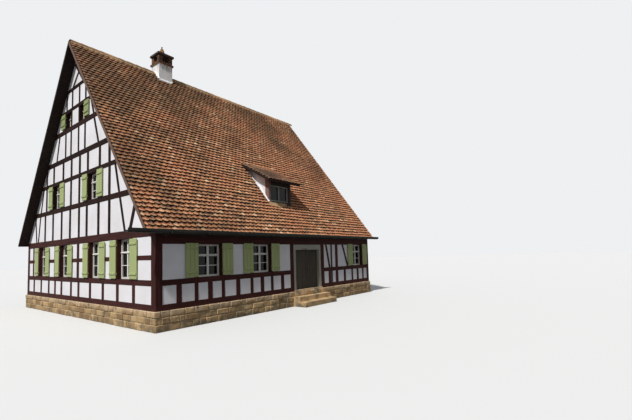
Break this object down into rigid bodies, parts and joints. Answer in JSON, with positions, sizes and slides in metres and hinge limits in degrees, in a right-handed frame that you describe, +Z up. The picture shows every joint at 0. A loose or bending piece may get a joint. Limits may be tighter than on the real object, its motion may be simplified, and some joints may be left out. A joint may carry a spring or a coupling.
{
  "type": "half timbered house",
  "caption": "Half timbered farmhouse with a steep tiled roof, green shutters, a lean-to dormer, a ridge chimney and a garden door",
  "frame": {"origin": "centre of the walls in plan, on the flat foot of the plinth", "axes": "+Z up; the front gable faces -Y, the garden side with the door faces +X, the ridge runs along Y"},
  "size_m": [11.78, 12.77, 11.419],
  "materials": {
    "sandstone": "rough quarried sandstone laid in lime mortar",
    "timber": "hewn oak stained dark red-brown",
    "plaster": "white limewash on hand-floated lime plaster",
    "white_paint": "softwood with white oil paint",
    "grey_paint": "softwood with weathered pale grey oil paint",
    "glass": "thin drawn window glass",
    "green_paint": "ledged boards with matt light green oil paint",
    "door_planks": "old planks, oiled dark grey",
    "wrought_iron": "black forged iron",
    "boards": "sawn boards, weathered brown",
    "gutter_wood": "hewn trough, wet and grey-green",
    "clay_tile": "unglazed clay tiles, orange to dark brown with moss",
    "render": "white lime render, sooty at the top",
    "brick": "fired red brick",
    "mortar": "weathered lime mortar and slab"
  },
  "bodies": {
    "house": {"plinth_gables": "sandstone", "plinth_sides": "sandstone", "ground_floor": "sandstone", "front_ground_frame": "timber", "front_ground_infill": "plaster", "front_gable_frame": "timber", "front_gable_infill": "plaster", "rear_ground_frame": "timber", "rear_ground_infill": "plaster", "rear_gable_frame": "timber", "rear_gable_infill": "plaster", "garden_frame": "timber", "garden_infill": "plaster", "yard_frame": "timber", "yard_infill": "plaster", "front_windows": "white_paint", "rear_windows": "white_paint", "garden_windows": "white_paint", "yard_windows": "white_paint", "dormer_window": "grey_paint", "ground_storey_glass": "glass", "attic_glass": "glass", "front_shutters": "green_paint", "rear_shutters": "green_paint", "garden_shutters": "green_paint", "yard_shutters": "green_paint", "door_frame": "grey_paint", "door_threshold": "sandstone", "door_step": "sandstone", "door_hooks": "wrought_iron", "floor_beams": "timber", "attic_floor": "boards", "loft_floor": "boards", "roof_garden": "clay_tile", "roof_yard": "clay_tile", "ridge_capping": "clay_tile", "bargeboards": "boards", "eaves_boards": "boards", "gutter": "gutter_wood", "gutter_hooks": "wrought_iron", "chimney_stack": "render", "chimney_head": "brick", "chimney_cap": "mortar", "dormer_frame": "timber", "dormer_cheeks": "plaster", "dormer_roof": "clay_tile"},
    "left_door_leaf": {"door_leaf_left": "door_planks"},
    "right_door_leaf": {"door_leaf_right": "door_planks"}
  },
  "joints": [
    {"name": "left_door_hinge", "type": "hinge", "parent": "house", "child": "left_door_leaf", "pos_m": [5.283, 0.085, 1.35], "axis": [0, 0, 1], "range_deg": [0, 95]},
    {"name": "right_door_hinge", "type": "hinge", "parent": "house", "child": "right_door_leaf", "pos_m": [5.283, 1.575, 1.35], "axis": [0, 0, -1], "range_deg": [0, 95]}
  ]
}
